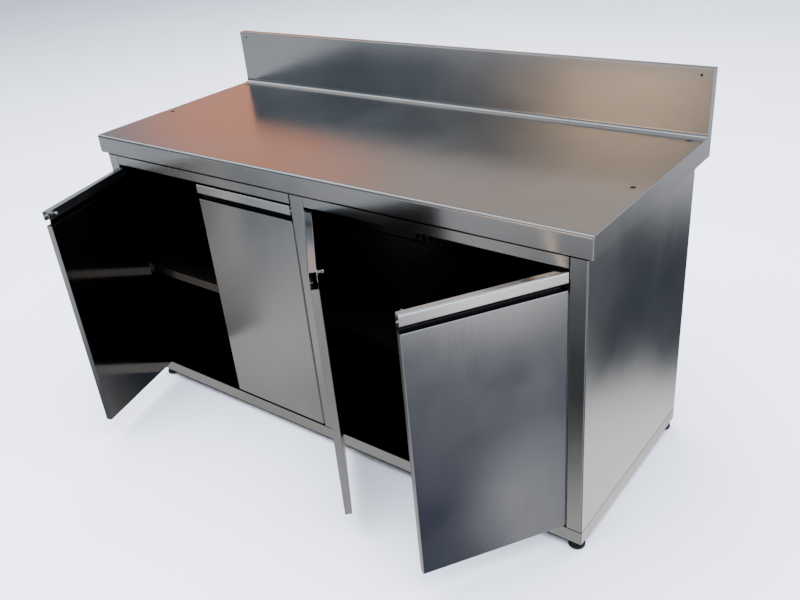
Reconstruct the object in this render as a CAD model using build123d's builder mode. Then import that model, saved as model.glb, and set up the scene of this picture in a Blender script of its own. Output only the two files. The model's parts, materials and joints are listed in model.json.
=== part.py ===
"""Stainless work table with a four-door cupboard base, upstand and levelling feet.

Frame: +X to the right along the table, +Y to the back, +Z up. The origin is on the floor,
under the middle of the whole object as it stands with three of its doors open.
"""
import os

from build123d import *

os.makedirs("parts", exist_ok=True)

# Driving dimensions, millimetres
LENGTH = 1600  # worktop, along X
DEPTH = 650  # worktop with its upstand, along Y
HEIGHT = 853  # floor to the top of the worktop
FRONT = -167  # Y of the worktop's front edge
UPSTAND = 167  # height of the upstand above the worktop
UPSTAND_DEPTH = 25
SKIRT = 53  # depth of the worktop's folded edge
EDGE_R = 8  # rounded front edge
COVE_R = 12  # radius where the worktop runs up into the upstand
WELD_R = 2.5  # ground corner weld round each end
TOP_SHEET = 1.5
BODY_SHEET = 1.2
DOOR_SHEET = 1.0
BEND_R = 3  # outside radius of the body's folds

BODY_HALF = 785  # half the length of the cupboard body
BODY_FRONT = FRONT + 11
BODY_REAR = FRONT + 598
FRAME_TOP = HEIGHT - 26.5  # top of the cupboard's frame
RAIL_BOTTOM = 764
BASE_TOP = 63.5  # cupboard floor
BASE_BOTTOM = 25
POST = 41  # width of the corner posts
MULLION_LEFT, MULLION_RIGHT = -35.5, 10.5
RETURN = 30  # depth of the posts' inner returns

DOOR_BOTTOM, DOOR_TOP = 67.5, 758
DOOR_T = 19
LEDGE = 715.5  # top of the door's flat front, floor of its finger channel
LIP_BOTTOM = 732
HINGE_GAP = 4  # between a door's hinged edge and its post
HINGE_SETBACK = 2.2  # hinge axis behind the door's front face
KNUCKLE_R, BORE_R, PIN_R = 1.7, 1.05, 1.0
LEAF_T = 0.6
HINGE_Z0, HINGE_Z1 = 71, 709
KNUCKLES = 11

SHELF_TOP = 400
SHELF_FRONT = FRONT + 60
SHELF_FOLD = 28

FOOT_X, FOOT_FRONT, FOOT_REAR = 763, FRONT + 33, FRONT + 576
STEM_R = 5

# door: hinge post face, direction from hinge to free edge, width, opening in degrees
DOORS = {
    1: (-BODY_HALF + POST, 1, 341.5, 73),
    2: (MULLION_LEFT, -1, 357.0, 0),
    3: (MULLION_RIGHT, 1, 355.0, 46),
    4: (BODY_HALF - POST, -1, 368.5, 57),
}

REAR = FRONT + DEPTH
UPSTAND_FRONT = REAR - UPSTAND_DEPTH
UPSTAND_TOP = HEIGHT + UPSTAND
SKIRT_BOTTOM = HEIGHT - SKIRT
DOOR_BACK = BODY_FRONT + DOOR_T
AXIS_Y = BODY_FRONT + HINGE_SETBACK


def fold(points, radii, thickness):
    """Section of a folded sheet along its mid-line, for use inside BuildSketch."""
    with BuildLine() as middle:
        FilletPolyline(*points, radius=radii)
    trace(middle.line, line_width=thickness)


def block(x0, x1, y0, y1, z0, z1, mode=Mode.ADD):
    """A box between two corners, for use inside BuildPart."""
    with Locations(((x0 + x1) / 2, (y0 + y1) / 2, (z0 + z1) / 2)):
        Box(abs(x1 - x0), abs(y1 - y0), z1 - z0, mode=mode)


def save(piece, name):
    piece.label = name
    export_step(piece, f"parts/{name}.step")


# ---------------------------------------------------------------- worktop
# One sheet: front skirt, rounded edge, top, cove, upstand, rear flange; the ends are welded in.
h = TOP_SHEET / 2
with BuildPart() as worktop:
    with BuildSketch(Plane.YZ.offset(-LENGTH / 2)):
        fold(
            [
                (FRONT + 10, SKIRT_BOTTOM + h),
                (FRONT + h, SKIRT_BOTTOM + h),
                (FRONT + h, HEIGHT - h),
                (UPSTAND_FRONT + h, HEIGHT - h),
                (UPSTAND_FRONT + h, UPSTAND_TOP - h),
                (REAR - h, UPSTAND_TOP - h),
                (REAR - h, SKIRT_BOTTOM + h),
                (REAR - 12, SKIRT_BOTTOM + h),
            ],
            [1.8, EDGE_R - h, COVE_R + h, 2, 2, 1.8],
            TOP_SHEET,
        )
    extrude(amount=LENGTH)
    for x in (-LENGTH / 2, LENGTH / 2 - TOP_SHEET):
        with BuildSketch(Plane.YZ.offset(x)):
            with BuildLine():
                Line((FRONT, SKIRT_BOTTOM + 2), (FRONT, HEIGHT - EDGE_R))
                RadiusArc((FRONT, HEIGHT - EDGE_R), (FRONT + EDGE_R, HEIGHT), EDGE_R)
                Line((FRONT + EDGE_R, HEIGHT), (UPSTAND_FRONT - COVE_R, HEIGHT))
                RadiusArc((UPSTAND_FRONT - COVE_R, HEIGHT), (UPSTAND_FRONT, HEIGHT + COVE_R), -COVE_R)
                Polyline(
                    (UPSTAND_FRONT, HEIGHT + COVE_R),
                    (UPSTAND_FRONT, UPSTAND_TOP - 2),
                    (UPSTAND_FRONT + 2, UPSTAND_TOP),
                    (REAR - 2, UPSTAND_TOP),
                    (REAR, UPSTAND_TOP - 2),
                    (REAR, SKIRT_BOTTOM + 2),
                    (REAR - 2, SKIRT_BOTTOM),
                    (FRONT + 2, SKIRT_BOTTOM),
                    (FRONT, SKIRT_BOTTOM + 2),
                )
            make_face()
        extrude(amount=TOP_SHEET)
    for s in (-1, 1):
        block(s * 790, s * (LENGTH / 2 - h), FRONT + 5, REAR - 5, SKIRT_BOTTOM, SKIRT_BOTTOM + TOP_SHEET)
    with Locations(*[(x, y, HEIGHT) for x in (-766, 766) for y in (FRONT + 261, FRONT + 590)]):
        Hole(radius=6, depth=3)
    with Locations(*[Location((x, UPSTAND_FRONT, HEIGHT + 150.5), (90, 0, 0)) for x in (-771, 771)]):
        Hole(radius=2.5, depth=3)

# The welds round its ends are ground to a small radius.
with BuildPart() as ground_ends:
    with BuildSketch(Plane.YZ.offset(-LENGTH / 2)):
        with BuildLine():
            Line((FRONT, SKIRT_BOTTOM - 10), (FRONT, HEIGHT - EDGE_R))
            RadiusArc((FRONT, HEIGHT - EDGE_R), (FRONT + EDGE_R, HEIGHT), EDGE_R)
            Line((FRONT + EDGE_R, HEIGHT), (UPSTAND_FRONT - COVE_R, HEIGHT))
            RadiusArc((UPSTAND_FRONT - COVE_R, HEIGHT), (UPSTAND_FRONT, HEIGHT + COVE_R), -COVE_R)
            Polyline(
                (UPSTAND_FRONT, HEIGHT + COVE_R),
                (UPSTAND_FRONT, UPSTAND_TOP),
                (REAR, UPSTAND_TOP),
                (REAR, SKIRT_BOTTOM - 10),
                (FRONT, SKIRT_BOTTOM - 10),
            )
        make_face()
    extrude(amount=LENGTH)
    fillet(edges().filter_by(lambda e: abs(abs(e.center().X) - LENGTH / 2) < 0.01 and e.center().Z > SKIRT_BOTTOM), WELD_R)
save(worktop.part & ground_ends.part, "worktop")

# Hat channels spot-welded under the sheet, resting on the frame.
with BuildPart() as worktop_stiffeners:
    for y in (FRONT + 155, FRONT + 450):
        with BuildSketch(Plane.YZ.offset(-780)):
            z0, z1 = FRAME_TOP + h, HEIGHT - TOP_SHEET - h
            fold(
                [(y - 42, z1), (y - 25, z1), (y - 25, z0), (y + 25, z0), (y + 25, z1), (y + 42, z1)],
                [1.8] * 4,
                TOP_SHEET,
            )
        extrude(amount=1560)
save(worktop_stiffeners.part, "worktop_stiffeners")

# ---------------------------------------------------------------- cupboard body
# Side sheets: the front fold is the corner post, the rear fold takes the back.
b = BODY_SHEET / 2
bend = BEND_R - b
for side, name in ((-1, "side_panel_left"), (1, "side_panel_right")):
    with BuildPart() as panel:
        with BuildSketch(Plane.XY.offset(BASE_TOP)):
            inner, outer = side * (BODY_HALF - POST + b), side * (BODY_HALF - b)
            fold(
                [
                    (inner, BODY_FRONT + RETURN),
                    (inner, BODY_FRONT + b),
                    (outer, BODY_FRONT + b),
                    (outer, BODY_REAR - 1 - b),
                    (side * (BODY_HALF - 20), BODY_REAR - 1 - b),
                ],
                [bend, bend, 1.8],
                BODY_SHEET,
            )
        extrude(amount=FRAME_TOP - BASE_TOP)
        for z in (BASE_TOP, FRAME_TOP - BODY_SHEET):
            block(side * (BODY_HALF - 20), side * (BODY_HALF - b), BODY_FRONT + 7, BODY_REAR - 12, z, z + BODY_SHEET)
    save(panel.part, name)

with BuildPart() as back_panel:
    block(-BODY_HALF + 1.5, BODY_HALF - 1.5, BODY_REAR - 1, BODY_REAR, BASE_TOP, FRAME_TOP)
save(back_panel.part, "back_panel")

# Floor of the cupboard, folded down all round and returned at the bottom.
with BuildPart() as base_tray:
    body_mid = (BODY_FRONT + BODY_REAR) / 2
    body_depth = BODY_REAR - BODY_FRONT
    with BuildSketch(Plane.XY.offset(BASE_BOTTOM)):
        with Locations((0, body_mid)):
            Rectangle(2 * BODY_HALF, body_depth)
        fillet(vertices(), BEND_R)
    extrude(amount=BASE_TOP - BASE_BOTTOM)
    fillet(faces().sort_by(Axis.Z)[-1].edges(), 2)
    offset(amount=-TOP_SHEET, openings=faces().sort_by(Axis.Z)[0])
    with BuildSketch(Plane.XY.offset(BASE_BOTTOM)):
        with Locations((0, body_mid)):
            Rectangle(2 * BODY_HALF - 2, body_depth - 2)
            Rectangle(2 * BODY_HALF - 30, body_depth - 30, mode=Mode.SUBTRACT)
    extrude(amount=TOP_SHEET)
save(base_tray.part, "base_tray")

# Post between the two bays.
with BuildPart() as mullion:
    with BuildSketch(Plane.XY.offset(BASE_TOP)):
        fold(
            [
                (MULLION_LEFT + 11, BODY_FRONT + RETURN),
                (MULLION_LEFT + b, BODY_FRONT + RETURN),
                (MULLION_LEFT + b, BODY_FRONT + b),
                (MULLION_RIGHT - b, BODY_FRONT + b),
                (MULLION_RIGHT - b, BODY_FRONT + RETURN),
                (MULLION_RIGHT - 11, BODY_FRONT + RETURN),
            ],
            [1.8, bend, bend, 1.8],
            BODY_SHEET,
        )
    extrude(amount=FRAME_TOP - BASE_TOP)
save(mullion.part, "mullion")

# Rails over the doors: the face stops short of the posts, the flanges run up to them.
for name, x0, x1 in (
    ("top_rail_left", -BODY_HALF + POST, MULLION_LEFT),
    ("top_rail_right", MULLION_RIGHT, BODY_HALF - POST),
):
    with BuildPart() as rail:
        with BuildSketch(Plane.YZ.offset(x0 + 1.5)):
            fold(
                [
                    (BODY_FRONT + 35, RAIL_BOTTOM + 11),
                    (BODY_FRONT + 35, RAIL_BOTTOM + b),
                    (BODY_FRONT + b, RAIL_BOTTOM + b),
                    (BODY_FRONT + b, FRAME_TOP - b),
                    (BODY_FRONT + 35, FRAME_TOP - b),
                ],
                [1.8, bend, 1.8],
                BODY_SHEET,
            )
        extrude(amount=x1 - x0 - 3)
        for z in (RAIL_BOTTOM, FRAME_TOP - BODY_SHEET):
            block(x0, x1, BODY_FRONT + 8, BODY_FRONT + 28, z, z + BODY_SHEET)
    save(rail.part, name)

with BuildPart() as rear_rail:
    with BuildSketch(Plane.YZ.offset(-764)):
        fold(
            [
                (BODY_REAR - 1 - b, FRAME_TOP - 45),
                (BODY_REAR - 1 - b, FRAME_TOP - b),
                (BODY_REAR - 40, FRAME_TOP - b),
                (BODY_REAR - 40, FRAME_TOP - 15),
            ],
            [1.8, 1.8],
            BODY_SHEET,
        )
    extrude(amount=1528)
save(rear_rail.part, "rear_rail")

# ---------------------------------------------------------------- shelves
CENTRE = (MULLION_LEFT + MULLION_RIGHT) / 2
for name, x0, x1 in (("shelf_left", -783.3, CENTRE - 0.5), ("shelf_right", CENTRE + 0.5, 783.3)):
    with BuildPart() as shelf:
        with BuildSketch(Plane.YZ.offset(x0)):
            fold(
                [
                    (SHELF_FRONT + 13, SHELF_TOP - SHELF_FOLD + 0.5),
                    (SHELF_FRONT + 0.5, SHELF_TOP - SHELF_FOLD + 0.5),
                    (SHELF_FRONT + 0.5, SHELF_TOP - 0.5),
                    (BODY_REAR - 4, SHELF_TOP - 0.5),
                    (BODY_REAR - 4, SHELF_TOP - 25),
                ],
                [1.5, 1.5, 1.5],
                1,
            )
        extrude(amount=x1 - x0)
        # notches over the centre bearer
        for y0, y1 in ((SHELF_FRONT - 1, SHELF_FRONT + 14), (BODY_REAR - 8, BODY_REAR - 1)):
            block(CENTRE - 22, CENTRE + 22, y0, y1, SHELF_TOP - 45, SHELF_TOP - 1, mode=Mode.SUBTRACT)
    save(shelf.part, name)

for side, name in ((-1, "shelf_bracket_left"), (1, "shelf_bracket_right")):
    with BuildPart() as bracket:
        wall = BODY_HALF - BODY_SHEET
        with BuildSketch(Plane.XZ.offset(-(BODY_REAR - 12))):
            fold(
                [
                    (side * (wall - 20), SHELF_TOP - 1.75),
                    (side * (wall - 0.75), SHELF_TOP - 1.75),
                    (side * (wall - 0.75), SHELF_TOP - 22),
                ],
                [1.5],
                1.5,
            )
        extrude(amount=BODY_REAR - 12 - (SHELF_FRONT + 18))
    save(bracket.part, name)

with BuildPart() as shelf_bearer:
    y0, y1 = BODY_FRONT + RETURN + b, BODY_REAR - 1
    with BuildSketch(Plane.XZ.offset(-y1)):
        with Locations((CENTRE, SHELF_TOP - 11)):
            RectangleRounded(40, 20, 2.5)
            RectangleRounded(37, 17, 1, mode=Mode.SUBTRACT)
    extrude(amount=y1 - y0)
save(shelf_bearer.part, "shelf_bearer")

# ---------------------------------------------------------------- levelling feet
# Threaded bush on a plate, one under each corner of the cupboard floor.
FEET = {
    "front_left": (-FOOT_X, FOOT_FRONT),
    "front_right": (FOOT_X, FOOT_FRONT),
    "rear_left": (-FOOT_X, FOOT_REAR),
    "rear_right": (FOOT_X, FOOT_REAR),
}
with BuildPart() as foot_sockets:
    for x, y in FEET.values():
        block(x - 18, x + 18, y - 18, y + 18, BASE_TOP - TOP_SHEET - 3, BASE_TOP - TOP_SHEET)
        with BuildSketch(Plane.XY.offset(30)):
            with Locations((x, y)):
                Circle(9)
                Circle(STEM_R + 0.05, mode=Mode.SUBTRACT)
        extrude(amount=BASE_TOP - TOP_SHEET - 3 - 30)
save(foot_sockets.part, "foot_sockets")

for corner, (x, y) in FEET.items():
    with BuildPart() as foot:
        with BuildSketch(Plane.XZ.offset(-y)):
            with BuildLine():
                Polyline((x, 10), (x, 0), (x + 18.5, 0), (x + 21, 2.5), (x + 21, 8))
                RadiusArc((x + 21, 8), (x + 10, 19), 14)
                Polyline((x + 10, 19), (x + 9, 22), (x + STEM_R, 22), (x + STEM_R, 10), (x, 10))
            make_face()
        revolve(axis=Axis((x, y, 0), (0, 0, 1)))
    save(foot.part, f"foot_{corner}")
    with BuildPart() as stem:
        with BuildSketch(Plane.XY.offset(10)):
            with Locations((x, y)):
                Circle(STEM_R)
        extrude(amount=46)
        chamfer(edges().sort_by(Axis.Z)[-1], 1)
    save(stem.part, f"foot_stem_{corner}")

# ---------------------------------------------------------------- doors, hinges and catches
PITCH = (HINGE_Z1 - HINGE_Z0) / KNUCKLES


def hinge_leaf(post, side, on_door):
    """One leaf of a continuous hinge; post and door leaves take turns along the pin."""
    axis_x = post + side * HINGE_GAP / 2
    wall = post + side * HINGE_GAP if on_door else post
    inner = wall - side * LEAF_T if on_door else wall + side * LEAF_T
    with BuildPart() as leaf:
        block(wall, inner, AXIS_Y + 2.2, DOOR_BACK - 3, HINGE_Z0, HINGE_Z1)
        for i in range(KNUCKLES):
            if (i % 2 == 1) == on_door:
                z0 = HINGE_Z0 + i * PITCH + 0.25
                block(wall, inner, AXIS_Y, AXIS_Y + 3, z0, z0 + PITCH - 0.5)
                with BuildSketch(Plane.XY.offset(z0)):
                    with Locations((axis_x, AXIS_Y)):
                        Circle(KNUCKLE_R)
                extrude(amount=PITCH - 0.5)
        with BuildSketch(Plane.XY.offset(HINGE_Z0)):
            with Locations((axis_x, AXIS_Y)):
                Circle(BORE_R)
        extrude(amount=HINGE_Z1 - HINGE_Z0, mode=Mode.SUBTRACT)
    return leaf.part


for n, (post, side, width, opening) in DOORS.items():
    edge = post + side * HINGE_GAP  # hinged edge of the closed door
    free = edge + side * width
    x0, x1 = min(edge, free), max(edge, free)
    axis_x = post + side * HINGE_GAP / 2
    hinge = Axis((axis_x, AXIS_Y, 0), (0, 0, 1))
    turn = -side * opening
    striker_x = edge + side * (width - 18)
    striker_z = DOOR_TOP - 10
    d = DOOR_SHEET / 2

    # Outer sheet: a shallow pan with the finger channel folded into its top.
    with BuildPart() as skin:
        block(x0, x1, BODY_FRONT, DOOR_BACK - DOOR_SHEET, DOOR_BOTTOM, LEDGE)
        fillet(faces().sort_by(Axis.Y)[0].edges(), 2)
        offset(amount=-DOOR_SHEET, openings=faces().sort_by(Axis.Y)[-1])
        with BuildSketch(Plane.YZ.offset(x0)):
            fold(
                [
                    (BODY_FRONT + 8, LIP_BOTTOM + d),
                    (BODY_FRONT + d, LIP_BOTTOM + d),
                    (BODY_FRONT + d, DOOR_TOP - d),
                    (DOOR_BACK - d, DOOR_TOP - d),
                    (DOOR_BACK - d, LEDGE - d),
                    (BODY_FRONT + 3, LEDGE - d),
                ],
                [1.2, 3.5, 1.5, 1.5],
                DOOR_SHEET,
            )
        extrude(amount=width)

    # Inner sheet: flat, with its edges folded inside the outer one.
    with BuildPart() as inner:
        block(x0, x1, DOOR_BACK - DOOR_SHEET, DOOR_BACK, DOOR_BOTTOM, LEDGE - 1.3)
        for xa in (x0 + 1.1, x1 - 2.1):
            block(xa, xa + DOOR_SHEET, BODY_FRONT + 6, DOOR_BACK - d, DOOR_BOTTOM + 2, LEDGE - 3)

    with BuildPart() as core:
        block(x0 + 2.6, x1 - 2.6, BODY_FRONT + 1.2, DOOR_BACK - 1.2, DOOR_BOTTOM + 2, LEDGE - 3)

    # Catch stud with a rounded head, on the back of the finger channel.
    with BuildPart() as striker:
        with BuildSketch(Plane.XY.offset(striker_z)):
            with BuildLine():
                Polyline(
                    (striker_x, DOOR_BACK),
                    (striker_x + 7, DOOR_BACK),
                    (striker_x + 7, DOOR_BACK + 1),
                    (striker_x + 6, DOOR_BACK + 1.5),
                    (striker_x + 2.5, DOOR_BACK + 1.5),
                    (striker_x + 2.5, DOOR_BACK + 9),
                    (striker_x + 4.2, DOOR_BACK + 11),
                    (striker_x + 4.2, DOOR_BACK + 12.5),
                )
                RadiusArc((striker_x + 4.2, DOOR_BACK + 12.5), (striker_x, DOOR_BACK + 16.7), -4.2)
                Line((striker_x, DOOR_BACK + 16.7), (striker_x, DOOR_BACK))
            make_face()
        revolve(axis=Axis((striker_x, DOOR_BACK, striker_z), (0, 1, 0)))

    for piece, name in (
        (skin.part, f"door_{n}_skin"),
        (inner.part, f"door_{n}_inner"),
        (core.part, f"door_{n}_core"),
        (striker.part, f"striker_{n}"),
        (hinge_leaf(post, side, True), f"hinge_leaf_door_{n}"),
    ):
        save(piece.rotate(hinge, turn), name)

    save(hinge_leaf(post, side, False), f"hinge_leaf_frame_{n}")
    with BuildPart() as pin:
        with BuildSketch(Plane.XY.offset(HINGE_Z0 - 0.5)):
            with Locations((axis_x, AXIS_Y)):
                Circle(PIN_R)
        extrude(amount=HINGE_Z1 - HINGE_Z0 + 1)
    save(pin.part, f"hinge_pin_{n}")

    # Spring clip under the rail; the stud's head goes between its arms.
    with BuildPart() as clip:
        with BuildSketch(Plane.XZ.offset(-(BODY_FRONT + 35))):
            fold(
                [
                    (striker_x - 8.5, RAIL_BOTTOM - 28),
                    (striker_x - 8.5, RAIL_BOTTOM - 0.5),
                    (striker_x + 8.5, RAIL_BOTTOM - 0.5),
                    (striker_x + 8.5, RAIL_BOTTOM - 28),
                ],
                [1.5, 1.5],
                1,
            )
        extrude(amount=12)
    save(clip.part, f"catch_clip_{n}")
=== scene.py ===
# Stainless work table with a four-door cupboard: the looks of its folded steel sheets, doors, hinges and
# feet, in a plain room with soft light. Lengths are in metres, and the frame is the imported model's own.
import json
import math

import bmesh
import bpy
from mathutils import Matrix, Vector


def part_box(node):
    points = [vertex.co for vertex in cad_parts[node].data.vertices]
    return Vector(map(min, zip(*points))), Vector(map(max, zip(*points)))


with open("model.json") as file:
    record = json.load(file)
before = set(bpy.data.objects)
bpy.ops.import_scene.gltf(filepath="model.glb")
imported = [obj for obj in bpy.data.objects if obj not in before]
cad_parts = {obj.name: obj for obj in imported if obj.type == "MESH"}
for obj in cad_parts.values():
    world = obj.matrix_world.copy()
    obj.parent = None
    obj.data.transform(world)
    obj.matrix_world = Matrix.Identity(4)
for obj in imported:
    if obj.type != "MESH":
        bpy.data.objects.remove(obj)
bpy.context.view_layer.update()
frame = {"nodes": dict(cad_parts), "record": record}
nodes = frame["nodes"]


# ---- Floor -----------------------------------------------------------------------------------------------
# A level screed floor with a pale matt paint, far wider than the table. It takes the table's soft shadow but
# is kept out of reflections, so that the steel shows the room below and not its own floor.
def linear(hexcode):
    """An sRGB colour such as "a0b0c0" as the linear colour that a shader socket takes."""
    channels = [int(hexcode[i:i + 2], 16) / 255 for i in (0, 2, 4)]
    return tuple(c / 12.92 if c <= 0.04045 else ((c + 0.055) / 1.055) ** 2.4 for c in channels) + (1.0,)


def add(tree, kind, sockets=None, **settings):
    """Adds one node; a socket's value is a constant, or another node's output to link from."""
    node = tree.nodes.new("ShaderNode" + kind)
    for key, value in settings.items():
        setattr(node, key, value)
    for key, value in (sockets or {}).items():
        if isinstance(value, bpy.types.NodeSocket):
            tree.links.new(value, node.inputs[key])
        else:
            node.inputs[key].default_value = value
    return node


def ramp(node, *stops):
    """Sets a colour ramp's stops, each a place from 0 to 1 and an sRGB hex colour."""
    points = node.color_ramp.elements
    while len(points) < len(stops):
        points.new(1.0)
    for point, (place, colour) in zip(points, stops):
        point.position = place
        point.color = linear(colour)
    return node.outputs["Color"]


def new_material(name):
    """An empty node material, its tree, and a Principled shader already on its output."""
    material = bpy.data.materials.new(name)
    material.use_nodes = True
    tree = material.node_tree
    tree.nodes.clear()
    shader = add(tree, "BsdfPrincipled")
    add(tree, "OutputMaterial", {"Surface": shader.outputs["BSDF"]})
    return material, tree, shader


def stage_piece(name, mesh, material):
    """Makes an object of the room from a bmesh, hidden from reflections and shadows."""
    data = bpy.data.meshes.new(name)
    mesh.to_mesh(data)
    mesh.free()
    data.materials.append(material)
    piece = bpy.data.objects.new(name, data)
    bpy.context.scene.collection.objects.link(piece)
    piece.visible_glossy = piece.visible_shadow = False
    return piece


FLOOR_HALF = 16.0

# Matt painted screed: even and pale, with cloudy patches a metre across that hardly show.
painted, tree, shader = new_material("pale matt floor paint")
place = add(tree, "TexCoord").outputs["Object"]
cloud = add(tree, "TexNoise", {"Vector": place, "Scale": 1.0, "Detail": 2.0}).outputs["Fac"]
cloudy = ramp(add(tree, "ValToRGB", {"Fac": cloud}), (0.3, "eceffa"), (0.7, "f1f4fd"))
tree.links.new(cloudy, shader.inputs["Base Color"])
shader.inputs["Roughness"].default_value = 0.9
shader.inputs["Specular IOR Level"].default_value = 0.1

floor_mesh = bmesh.new()
bmesh.ops.create_grid(floor_mesh, x_segments=2, y_segments=2, size=FLOOR_HALF)
stage_piece("floor", floor_mesh, painted)


# ---- Backdrop --------------------------------------------------------------------------------------------
# A dome of pale seamless paper that stands on the edge of the floor. Only the camera sees it, so that the
# room stays plain behind the table from every side.
BACKDROP_FOOT = -0.2  # it reaches this far below the floor, to leave no gap

# Seamless paper with its own even glow: a little greyer at the foot, as paper is where the light falls away.
paper, tree, shader = new_material("pale backdrop paper")
up = add(tree, "SeparateXYZ", {"Vector": add(tree, "TexCoord").outputs["Object"]}).outputs["Z"]
share = add(tree, "MapRange", {"Value": up, "From Max": FLOOR_HALF}).outputs["Result"]
glow = ramp(add(tree, "ValToRGB", {"Fac": share}), (0.0, "c2c7d1"), (0.3, "e4e8f1"))
tree.links.new(glow, shader.inputs["Emission Color"])
shader.inputs["Emission Strength"].default_value = 1.6
shader.inputs["Base Color"].default_value = (0, 0, 0, 1)
shader.inputs["Specular IOR Level"].default_value = 0.0

dome_mesh = bmesh.new()
bmesh.ops.create_icosphere(dome_mesh, subdivisions=4, radius=FLOOR_HALF - 0.5)
bmesh.ops.bisect_plane(dome_mesh, geom=dome_mesh.verts[:] + dome_mesh.edges[:] + dome_mesh.faces[:],
                       plane_co=(0, 0, BACKDROP_FOOT), plane_no=(0, 0, -1), clear_outer=True)
backdrop = stage_piece("backdrop", dome_mesh, paper)
backdrop.visible_diffuse = False


# ---- Surroundings ----------------------------------------------------------------------------------------
# Satin steel takes nearly all of its colour from what stands round it: a pale yard below the horizon, a dim
# cool band above it, a bright sky overhead, and patches such as a warm wall behind the table and dark things
# beside it.
ROOM_STRENGTH = 1.5
DOME = ((0.00, "b2b2b4"), (0.14, "aaaaab"), (0.21, "868788"), (0.29, "95979b"), (0.33, "a9abb0"),
        (0.37, "b6bac2"), (0.47, "868c95"),  # up to here, from straight below to the horizon
        (0.53, "555f69"), (0.80, "586570"), (0.92, "7c8b98"), (0.97, "e4edff"), (1.00, "eef4ff"))

# Each patch: the direction of its middle, its edge and core as cosines from there, and its colour.
PATCHES = (
    # Behind the table: grey plaster at the far left, a warm wall, and terracotta on it.
    ((-0.857, 0.456, 0.24), 0.960, 0.992, "8c8a92"),
    ((-0.43, 0.81, 0.39), 0.930, 0.992, "a89f99"),
    ((-0.716, 0.645, 0.267), 0.984, 0.998, "e0977a"),
    # Bright openings at the right and high at the left, for lips and rounded edges, and a pale far corner.
    ((0.97, -0.12, 0.22), 0.850, 0.960, "f4f6fb"),
    ((-0.615, -0.021, 0.788), 0.870, 0.945, "f6f9ff"),
    ((0.37, 0.79, 0.48), 0.860, 0.990, "c4c8d6"),
    # Low in front of the doors and the right-hand post: dark, light, and dark again.
    ((-0.73, -0.59, -0.36), 0.991, 0.999, "5a6068"),
    ((-0.65, -0.57, -0.50), 0.996, 0.9997, "b8b4b0"),
    ((-0.345, -0.758, -0.552), 0.9865, 0.9962, "1c2229"),
    # Low at the right, for the open fourth door: a wide dark blue shade with bright spots round it.
    ((0.76, -0.15, -0.63), 0.935, 0.970, "18223a"),
    ((0.92, -0.16, -0.36), 0.980, 0.993, "ffffff"),
    ((0.765, -0.044, -0.643), 0.9975, 0.9997, "9ca0a6"),
    ((0.719, -0.075, -0.691), 0.9983, 0.9998, "e6e6e8"),
    # Low behind on the right, for the side panel: a dark shade with bright ground under it.
    ((0.312, 0.813, -0.492), 0.988, 0.9978, "262e39"),
    ((0.128, 0.602, -0.788), 0.9425, 0.9563, "f2f2f4"))

world = bpy.data.worlds.new("soft room")
bpy.context.scene.world = world
world.use_nodes = True
tree = world.node_tree
tree.nodes.clear()
direction = add(tree, "TexCoord").outputs["Generated"]
height = add(tree, "SeparateXYZ", {"Vector": direction}).outputs["Z"]
height = add(tree, "MapRange", {"Value": height, "From Min": -1.0, "From Max": 1.0}).outputs["Result"]
colour = ramp(add(tree, "ValToRGB", {"Fac": height}), *DOME)
for middle, edge, core, hexcode in PATCHES:
    cosine = add(tree, "VectorMath", {0: direction, 1: Vector(middle).normalized()},
                 operation="DOT_PRODUCT").outputs["Value"]
    near = add(tree, "MapRange", {"Value": cosine, "From Min": edge, "From Max": core},
               interpolation_type="SMOOTHSTEP").outputs["Result"]
    colour = add(tree, "MixRGB", {"Fac": near, "Color1": colour, "Color2": linear(hexcode)}).outputs["Color"]
background = add(tree, "Background", {"Color": colour, "Strength": ROOM_STRENGTH})
add(tree, "OutputWorld", {"Surface": background.outputs["Background"]})


# ---- Lights ----------------------------------------------------------------------------------------------
# Large diffusing panels on stands, all out of view: two over the table that light only matt surfaces, one
# that the steel also shows as a cool sheen on its folds, and a small warm one in front, like a low window.
def soft_light(name, where, towards, width, depth, watts, hexcode, on_steel=True):
    """A large rectangular lamp that points at a place; without on_steel it lights only the matt surfaces."""
    data = bpy.data.lights.new(name, "AREA")
    data.shape, data.size, data.size_y, data.energy = "RECTANGLE", width, depth, watts
    data.color = linear(hexcode)[:3]
    lamp = bpy.data.objects.new(name, data)
    lamp.location = where
    lamp.rotation_euler = (Vector(towards) - Vector(where)).to_track_quat("-Z", "Y").to_euler()
    bpy.context.scene.collection.objects.link(lamp)
    lamp.visible_camera, lamp.visible_glossy = False, on_steel


OVERHEAD, TABLE_MIDDLE = (-0.5, -0.9, 4.2), (-0.1, -0.2, 0.85)
soft_light("ceiling panel", (0.3, 0.0, 5.5), (0.3, 0.0, 0.0), 9.0, 9.0, 2300, "f2f5ff", on_steel=False)
soft_light("overhead softbox", OVERHEAD, TABLE_MIDDLE, 3.4, 3.0, 120, "e2ebff", on_steel=False)
soft_light("overhead strip", OVERHEAD, TABLE_MIDDLE, 3.4, 2.4, 130, "dae6ff")
soft_light("warm window", (-1.45, -4.6, 2.2), (0.5, 0.4, 0.95), 1.4, 1.6, 17, "ffd8b0")


# ---- Camera ----------------------------------------------------------------------------------------------
# It stands at the front right, a little above the upstand, as if held by hand: it looks down on the top and
# leans a little to its left.
EYE = (1.4342, -1.5356, 1.5595)
TURN_DEGREES = (61.037, 4.837, 36.879)
LENS_MM, SENSOR_MM = 37.94, 36.0
camera_data = bpy.data.cameras.new("camera")
camera_data.lens, camera_data.sensor_width, camera_data.clip_end = LENS_MM, SENSOR_MM, 100.0
camera = bpy.data.objects.new("camera", camera_data)
camera.location = EYE
camera.rotation_euler = [math.radians(angle) for angle in TURN_DEGREES]
bpy.context.scene.collection.objects.link(camera)
bpy.context.scene.camera = camera


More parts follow.
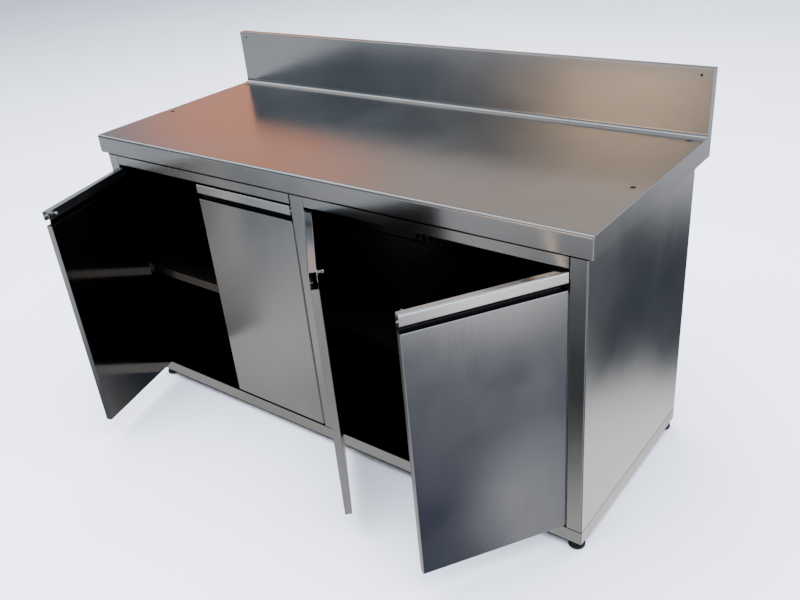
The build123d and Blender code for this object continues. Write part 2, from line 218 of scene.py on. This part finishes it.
# ---- Worktop ---------------------------------------------------------------------------------------------
# One folded sheet of 1.5 mm austenitic stainless, satin finished along its length before it was folded. The
# upstand, skirts and cove are all folds of it, its end corners are welded and ground, and six holes take
# screws.
GRAIN_LENGTH, GRAIN_WIDTH = 0.12, 0.0015  # real grain is 0.1 mm wide, too fine to show, so it is coarser
GRAIN_RELIEF = 0.0006
SCRATCH_SCALE = (9.0, 500.0, 500.0)  # scratches some 110 mm long and 2 mm wide
SCRATCHES = ((25, 3.0), (-40, 11.0), (80, 19.0))  # the three ways they run, in degrees, and their offsets
HOLE_SHADE_RIM = 0.0007  # width of the rim round a screw hole that is painted black with it, as painted shade


def satin_steel(name, light, dark, axis, roughness, spread, patch=0.25, scratch=0.0):
    """Satin stainless with its grain along an axis: fine streaks, cloudy wipe marks as long as patch, where
    the roughness also varies by spread, and if asked, fine crossing scratches."""
    material, tree, shader = new_material(name)
    place = add(tree, "TexCoord").outputs["Object"]
    scale = [1 / GRAIN_WIDTH] * 3
    scale["XYZ".index(axis)] = 1 / GRAIN_LENGTH
    drawn = add(tree, "Mapping", {"Vector": place, "Scale": scale}).outputs["Vector"]
    grain = add(tree, "TexNoise", {"Vector": drawn, "Scale": 1.0, "Detail": 2.0,
                                   "Roughness": 0.5}).outputs["Fac"]
    wiped = add(tree, "TexNoise", {"Vector": place, "Scale": 1 / patch, "Detail": 4.0,
                                   "Roughness": 0.5}).outputs["Fac"]
    share = add(tree, "MixRGB", {"Fac": 0.7, "Color1": grain, "Color2": wiped}).outputs["Color"]
    tone = ramp(add(tree, "ValToRGB", {"Fac": share}), (0.3, dark), (0.7, light))
    rough = add(tree, "MapRange", {"Value": wiped, "From Min": 0.3, "From Max": 0.7,
                                   "To Min": roughness - spread,
                                   "To Max": roughness + spread}).outputs["Result"]
    for turn, offset in SCRATCHES if scratch else ():
        turned = add(tree, "Mapping", {"Vector": place, "Location": (offset, offset, 0),
                                       "Scale": SCRATCH_SCALE,
                                       "Rotation": (0, 0, math.radians(turn))}).outputs["Vector"]
        line = add(tree, "TexNoise", {"Vector": turned, "Scale": 1.0, "Detail": 1.0}).outputs["Fac"]
        line = add(tree, "MapRange", {"Value": line, "From Min": 0.73, "From Max": 0.79,
                                      "To Max": scratch}).outputs["Result"]
        rough = add(tree, "Math", {0: rough, 1: line}, operation="ADD").outputs["Value"]
    relief = add(tree, "Bump", {"Height": grain, "Strength": GRAIN_RELIEF,
                                "Distance": 0.001}).outputs["Normal"]
    shader.inputs["Metallic"].default_value = 1.0
    tree.links.new(tone, shader.inputs["Base Color"])
    tree.links.new(rough, shader.inputs["Roughness"])
    tree.links.new(relief, shader.inputs["Normal"])
    return material


def recolour(material, hexcode, mask, inverse=False):
    """Mixes a colour into a steel where a mask is 1, or with inverse, where it is 0. The mask is made by a
    call with the tree and the Object coordinates."""
    tree = material.node_tree
    place = next(node for node in tree.nodes if node.type == "TEX_COORD").outputs["Object"]
    base = next(node for node in tree.nodes if node.type == "BSDF_PRINCIPLED").inputs["Base Color"]
    pair = {"Color1": base.links[0].from_socket, "Color2": linear(hexcode)}
    if inverse:
        pair = {"Color1": linear(hexcode), "Color2": base.links[0].from_socket}
    tree.links.new(add(tree, "MixRGB", {"Fac": mask(tree, place), **pair}).outputs["Color"], base)


def within(centre, reach):
    """A mask that is 1 within a distance of a point."""
    def mask(tree, place):
        off = add(tree, "VectorMath", {0: place, 1: centre}, operation="DISTANCE").outputs["Value"]
        return add(tree, "Math", {0: off, 1: reach}, operation="LESS_THAN").outputs["Value"]
    return mask


def dress(material, *names):
    """Puts one material into every material slot of these nodes."""
    for name in names:
        for slot in nodes[name].material_slots:
            slot.material = material


# Satin sheet, worn by years of wiping: a soft streaky reflection with dull patches and a few fine scratches.
worktop_steel = satin_steel("satin stainless worktop sheet", "c9c8c6", "b5b4b3", "X", 0.22, 0.04,
                            scratch=0.02)
# Screw holes and a thin rim round each are painted black: a painted shade for their dark inside, as the
# light doesn't come back out of them.
for mount in frame["record"]["mounts"]:
    if mount["kind"] == "bolt_pattern":
        dims = mount["dims"]
        half_x, half_y = dims["spacing_x_mm"] / 2000, dims.get("spacing_y_mm", 0) / 2000
        for x in (-half_x, half_x):
            for y in sorted({-half_y, half_y}):
                hole = Vector(mount["pos_m"]) + Vector((x, y, 0))
                recolour(worktop_steel, "0c0c0c", within(hole, dims["hole_r_mm"] / 1000 + HOLE_SHADE_RIM))
dress(worktop_steel, "worktop")


# ---- Hidden frame ----------------------------------------------------------------------------------------
# Hat channels under the top, the rail behind it, and the brackets and bearer of the shelves: unpolished
# stainless, folded and spot welded in place.
# Mill finish, out of the light: dull, without a clear reflection, and painted dark as a painted shade.
dress(satin_steel("shade-darkened mill finish stiffener", "363637", "2b2b2c", "X", 0.45, 0.06),
      "worktop_stiffeners", "rear_rail", "shelf_bracket_left", "shelf_bracket_right", "shelf_bearer")


# ---- Cupboard body ---------------------------------------------------------------------------------------
# Side panels folded into the corner posts, back, middle post, base tray and top rails: thin satin sheets,
# folded and spot welded edge to edge. The grain runs up the uprights and along the rails.
SKIN = 0.0006  # depth of sheet that counts as its polished outer face
body_low, body_high = Vector(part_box("side_panel_left")[0]), Vector(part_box("side_panel_right")[1])
BODY_HALF, BODY_FRONT, BODY_REAR = body_high.x, body_low.y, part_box("back_panel")[1].y
SKIRT_BOTTOM, BASE_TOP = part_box("worktop")[0].z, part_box("base_tray")[1].z
UNDER_SKIRT = (SKIRT_BOTTOM - 0.0085, SKIRT_BOTTOM)  # painted shade on the strip where the body runs up under the skirt
OVER_BASE = (BASE_TOP - 0.0022, BASE_TOP + 0.0006)  # joint of the uprights and the base
# Dark colour for the joint over the base, and for the painted shade under the skirt.
JOINT_GRIME_AND_SHADE = "2c2a28"


def outside(tree, place):
    """A mask that is 1 on the outer faces of the cupboard body, and 0 on its inner faces."""
    part = add(tree, "SeparateXYZ", {"Vector": place})
    side = add(tree, "Math", {0: part.outputs["X"]}, operation="ABSOLUTE").outputs["Value"]
    ends = add(tree, "Math", {0: side, 1: BODY_HALF - SKIN}, operation="GREATER_THAN").outputs["Value"]
    deep = part.outputs["Y"]
    front = add(tree, "Math", {0: deep, 1: BODY_FRONT + SKIN}, operation="LESS_THAN").outputs["Value"]
    rear = add(tree, "Math", {0: deep, 1: BODY_REAR - SKIN}, operation="GREATER_THAN").outputs["Value"]
    both = add(tree, "Math", {0: ends, 1: front}, operation="MAXIMUM").outputs["Value"]
    return add(tree, "Math", {0: both, 1: rear}, operation="MAXIMUM").outputs["Value"]


def band(low, high=math.inf):
    """A mask that is 1 between two heights."""
    def mask(tree, place):
        up = add(tree, "SeparateXYZ", {"Vector": place}).outputs["Z"]
        above = add(tree, "Math", {0: up, 1: low}, operation="GREATER_THAN").outputs["Value"]
        if high == math.inf:
            return above
        below = add(tree, "Math", {0: up, 1: high}, operation="LESS_THAN").outputs["Value"]
        return add(tree, "Math", {0: above, 1: below}, operation="MULTIPLY").outputs["Value"]
    return mask


# Satin upright sheets: a clear soft reflection drawn upwards, and inner faces painted a dull grey, a painted
# shade that goes nearly black in the dim bays.
upright_steel = satin_steel("satin stainless upright sheet", "d3d2d0", "bcbbb9", "Z", 0.17, 0.03, patch=0.35)
# Satin rail sheets: the same sheet with its grain lengthways, rubbed a little duller by hands and feet.
rail_steel = satin_steel("satin stainless rail sheet", "d3d2d0", "bcbbb9", "X", 0.24, 0.05)
# Both get their inner faces painted grey, a painted shade for the dim bays.
for steel in (upright_steel, rail_steel):
    recolour(steel, "6a6b6d", outside, inverse=True)
    # Dark bands: a painted shade on the strip under the skirt, and a dark joint over the base.
    for joint in (UNDER_SKIRT, OVER_BASE):
        recolour(steel, JOINT_GRIME_AND_SHADE, band(*joint))
dress(upright_steel, "side_panel_left", "side_panel_right", "mullion", "back_panel")
dress(rail_steel, "base_tray", "top_rail_left", "top_rail_right")


# ---- Shelves ---------------------------------------------------------------------------------------------
# One folded sheet of thin stainless in each bay, its front edge turned down 28 mm to stiffen it. It lies
# loose on the brackets at the sides and the bearer between the bays.
# Satin sheet painted a dark brownish grey, a painted shade for the dim bays, its reflection spread wide.
shelf_steel = satin_steel("shade-darkened satin shelf sheet", "8f8a84", "78736e", "X", 0.32, 0.06)
dress(shelf_steel, "shelf_left", "shelf_right")


# ---- Doors -----------------------------------------------------------------------------------------------
# Double-skin doors: an outer satin pan folded at its top into a finger channel and lip, an inner sheet
# folded into it, and a felt board between them that deadens the sound.
DOORS = range(1, 5)
DOOR_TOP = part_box("door_1_skin")[1].z
CHANNEL_FLOOR, LIP_BOTTOM = DOOR_TOP - 0.043, DOOR_TOP - 0.026

# Satin outer sheets: the reflection is drawn upwards. The lip is painted near white, a painted highlight,
# and the finger channel is painted dark, a painted shade in the recess.
door_steel = satin_steel("satin stainless door skin", "d1d1d1", "bababb", "Z", 0.20, 0.04, patch=0.3)
recolour(door_steel, "f6f6f6", band(LIP_BOTTOM))
recolour(door_steel, "4a4b4d", band(CHANNEL_FLOOR, LIP_BOTTOM))
dress(door_steel, *["door_%d_skin" % n for n in DOORS])

# Bright-rolled inner sheets: darker, and nearly a mirror, so an open door shows the shelf and the dark bay.
dress(satin_steel("bright stainless door lining", "a9a6a3", "8f8c89", "Z", 0.12, 0.04),
      *["door_%d_inner" % n for n in DOORS])

# Pressed felt: matt and fawn, with fibres 2.5 mm across.
felt, tree, shader = new_material("pressed felt board")
place = add(tree, "TexCoord").outputs["Object"]
fibre = add(tree, "TexNoise", {"Vector": place, "Scale": 400.0, "Detail": 3.0}).outputs["Fac"]
fibres = ramp(add(tree, "ValToRGB", {"Fac": fibre}), (0.3, "8f8a7d"), (0.7, "b9b4a6"))
tree.links.new(fibres, shader.inputs["Base Color"])
shader.inputs["Roughness"].default_value = 0.95
dress(felt, *["door_%d_core" % n for n in DOORS])


# ---- Hinges and catches ----------------------------------------------------------------------------------
# A continuous strip hinge down each door, of rolled steel leaves on a pin. A plated stud with a rounded head
# on the door goes between the two arms of a spring clip, which is riveted under the top rail.
# Mill finish strip: grey and dull, with no clear reflection.
dress(satin_steel("mill finish hinge strip", "9b9c9d", "7f8082", "Z", 0.38, 0.06),
      *["hinge_leaf_%s_%d" % (side, n) for side in ("door", "frame") for n in DOORS])
# Bright zinc plate: light, a little blue, and it sparkles on a small round part.
dress(satin_steel("bright zinc plate", "d0d2d4", "b5b7ba", "Z", 0.18, 0.05),
      *["%s_%d" % (part, n) for part in ("hinge_pin", "striker") for n in DOORS])
# Spring steel, blued by its tempering: dark and softly shiny.
dress(satin_steel("spring steel clip", "5b5d60", "4d4f53", "X", 0.3, 0.05),
      *["catch_clip_%d" % n for n in DOORS])


# ---- Feet ------------------------------------------------------------------------------------------------
# Moulded nylon pads on threaded steel stems, which screw up into bushes welded in the base and level the
# table.
CORNERS = ("front_left", "front_right", "rear_left", "rear_right")

# Zinc-plated thread: as bright as the studs, a touch duller.
dress(satin_steel("bright zinc plate stem", "d0d2d4", "b5b7ba", "Z", 0.2, 0.05),
      "foot_sockets", *["foot_stem_" + corner for corner in CORNERS])

# Moulded nylon: nearly black, half matt, with a spark-eroded texture about 1 mm across.
nylon, tree, shader = new_material("moulded black nylon")
place = add(tree, "TexCoord").outputs["Object"]
spark = add(tree, "TexNoise", {"Vector": place, "Scale": 900.0, "Detail": 2.0}).outputs["Fac"]
sparks = ramp(add(tree, "ValToRGB", {"Fac": spark}), (0.3, "101112"), (0.7, "1a1b1d"))
relief = add(tree, "Bump", {"Height": spark, "Strength": 0.2, "Distance": 0.0005}).outputs["Normal"]
tree.links.new(sparks, shader.inputs["Base Color"])
tree.links.new(relief, shader.inputs["Normal"])
shader.inputs["Roughness"].default_value = 0.5
dress(nylon, *["foot_" + corner for corner in CORNERS])
